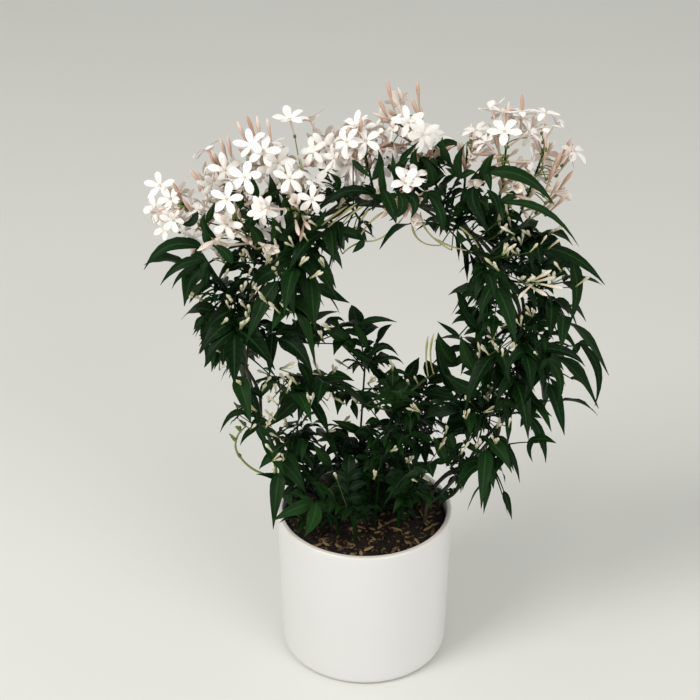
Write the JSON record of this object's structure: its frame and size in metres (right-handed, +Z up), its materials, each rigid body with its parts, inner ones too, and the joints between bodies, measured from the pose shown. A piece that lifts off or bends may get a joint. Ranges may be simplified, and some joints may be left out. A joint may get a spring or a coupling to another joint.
{
  "type": "potted pink jasmine trained on a hoop",
  "caption": "Flowering climbing jasmine wound round an upright wire hoop, with sprays of white star flowers and pink buds at its crown, rooted in a round white glazed pot.",
  "frame": {"origin": "middle of the pot's foot, on the surface that it stands on", "axes": "+Z up, through the pot's axis; the hoop stands in the XZ plane; -Y is the plant's best side, +X is to its right"},
  "size_m": [0.3406, 0.1629, 0.4699],
  "materials": {
    "pot_glaze": "satin",
    "potting_soil": "matte",
    "hoop_wire": "satin",
    "stem_bark": "matte",
    "jasmine_leaf": "satin",
    "jasmine_flower": "matte"
  },
  "bodies": {
    "root": {"hoop": "hoop_wire", "leafy_shoot_01": "jasmine_leaf", "leafy_shoot_02": "jasmine_leaf", "leafy_shoot_03": "jasmine_leaf", "leafy_shoot_04": "jasmine_leaf", "leafy_shoot_05": "jasmine_leaf", "leafy_shoot_06": "jasmine_leaf", "leafy_shoot_07": "jasmine_leaf", "leafy_shoot_08": "jasmine_leaf", "leafy_shoot_09": "jasmine_leaf", "leafy_shoot_10": "jasmine_leaf", "leafy_shoot_11": "jasmine_leaf", "leafy_shoot_12": "jasmine_leaf", "leafy_shoot_13": "jasmine_leaf", "leafy_shoot_14": "jasmine_leaf", "leafy_shoot_15": "jasmine_leaf", "leafy_shoot_16": "jasmine_leaf", "leafy_shoot_17": "jasmine_leaf", "leafy_shoot_18": "jasmine_leaf", "leafy_shoot_19": "jasmine_leaf", "leafy_shoot_20": "jasmine_leaf", "leafy_shoot_21": "jasmine_leaf", "leafy_shoot_22": "jasmine_leaf", "leafy_shoot_23": "jasmine_leaf", "leafy_shoot_24": "jasmine_leaf", "leafy_shoot_25": "jasmine_leaf", "leafy_shoot_26": "jasmine_leaf", "leafy_shoot_27": "jasmine_leaf", "leafy_shoot_28": "jasmine_leaf", "leafy_shoot_29": "jasmine_leaf", "leafy_shoot_30": "jasmine_leaf", "leafy_shoot_31": "jasmine_leaf", "pot": "pot_glaze", "soil": "potting_soil", "spray_01": "jasmine_flower", "spray_02": "jasmine_flower", "spray_03": "jasmine_flower", "spray_04": "jasmine_flower", "spray_05": "jasmine_flower", "spray_06": "jasmine_flower", "spray_07": "jasmine_flower", "spray_08": "jasmine_flower", "spray_09": "jasmine_flower", "spray_10": "jasmine_flower", "spray_11": "jasmine_flower", "spray_12": "jasmine_flower", "spray_13": "jasmine_flower", "stem_left_a": "stem_bark", "stem_left_b": "stem_bark", "stem_right_a": "stem_bark", "stem_right_b": "stem_bark", "young_shoot_01": "jasmine_leaf", "young_shoot_02": "jasmine_leaf", "young_shoot_03": "jasmine_leaf", "young_shoot_04": "jasmine_leaf", "young_shoot_05": "jasmine_leaf", "young_shoot_06": "jasmine_leaf"}
  },
  "joints": []
}
